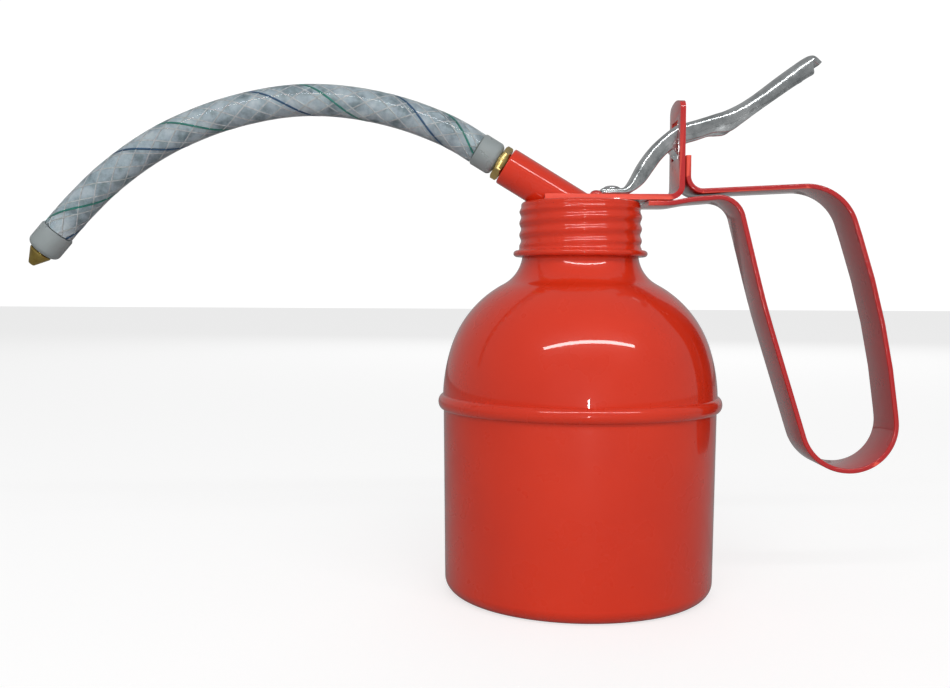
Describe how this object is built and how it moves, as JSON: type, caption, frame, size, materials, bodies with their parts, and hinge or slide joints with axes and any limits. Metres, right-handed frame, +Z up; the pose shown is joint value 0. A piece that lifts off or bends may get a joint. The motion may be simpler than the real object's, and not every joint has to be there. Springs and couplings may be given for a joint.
{
  "type": "pump oil can",
  "caption": "Thumb-lever pump oiler: domed round steel can, screw cap, strap handle, braided flexible spout hose with a small cone nozzle.",
  "frame": {"origin": "centre of the can's flat base, on its axis", "axes": "+Z up along the can's axis, +X towards the strap handle, -X towards the spout"},
  "size_m": [0.303, 0.0988, 0.1864],
  "materials": {
    "red_enamel": "gloss enamel, slight orange peel",
    "bright_zinc": "bright zinc plate, drawn streaks",
    "brass": "machined brass",
    "pump_brass": "drawn brass, oily",
    "steel": "plain steel",
    "black_rubber": "oil-resistant rubber",
    "leather": "oiled leather cup",
    "clear_hose": "clear PVC with white braid",
    "clear_nylon": "clear moulded plastic"
  },
  "bodies": {
    "can": {"lower_body": "red_enamel", "upper_body": "red_enamel"},
    "cap_carrier": {"cap_gasket": "black_rubber"},
    "head": {"cap": "red_enamel", "bracket": "red_enamel", "handle_strap": "red_enamel", "bracket_rivet_near": "red_enamel", "bracket_rivet_far": "red_enamel", "rod_gland": "brass", "rod_packing": "black_rubber", "pump_cylinder": "pump_brass", "foot_valve_body": "pump_brass", "ball_retainer": "steel", "suction_tube": "steel", "suction_strainer": "pump_brass", "spout_tube": "red_enamel", "hose_fitting": "brass", "hose_ferrule_near": "clear_nylon", "hose": "clear_hose", "hose_ferrule_tip": "clear_nylon", "nozzle": "brass"},
    "lever": {"lever": "bright_zinc"},
    "plunger": {"pump_rod": "bright_zinc", "piston": "pump_brass", "piston_seal": "leather", "piston_nut": "steel", "flap_stop": "steel", "return_spring": "steel"},
    "inlet_ball": {"inlet_ball": "steel"},
    "transfer_flap": {"transfer_flap": "black_rubber"}
  },
  "joints": [
    {"name": "cap_lift", "type": "slide", "parent": "can", "child": "cap_carrier", "axis": [0, 0, 1], "range_m": [0, 0.0164]},
    {"name": "cap_turn", "type": "hinge", "parent": "cap_carrier", "child": "head", "pos_m": [0, 0, 0.1172], "axis": [0, 0, 1], "range_deg": [0, 1450]},
    {"name": "lever_pivot", "type": "hinge", "parent": "head", "child": "lever", "pos_m": [0.0336, 0, 0.1513], "axis": [0, 1, 0], "range_deg": [0, 15], "stiffness_Nm_per_rad": 0.9, "springref_deg": -11.46},
    {"name": "rod_slide", "type": "slide", "parent": "head", "child": "plunger", "axis": [0, 0, 1], "range_m": [0, 0.0071], "deforming": ["return_spring"]},
    {"name": "inlet_ball_lift", "type": "slide", "parent": "head", "child": "inlet_ball", "axis": [0, 0, 1], "range_m": [0, 0.0008]},
    {"name": "transfer_flap_lift", "type": "slide", "parent": "plunger", "child": "transfer_flap", "axis": [0, 0, 1], "range_m": [0, 0.0007]}
  ],
  "couplings": [
    {"joint": "cap_turn", "follows": "cap_lift", "rad_per_m": 1532.5},
    {"joint": "rod_slide", "follows": "lever_pivot", "m_per_rad": 0.0266}
  ]
}
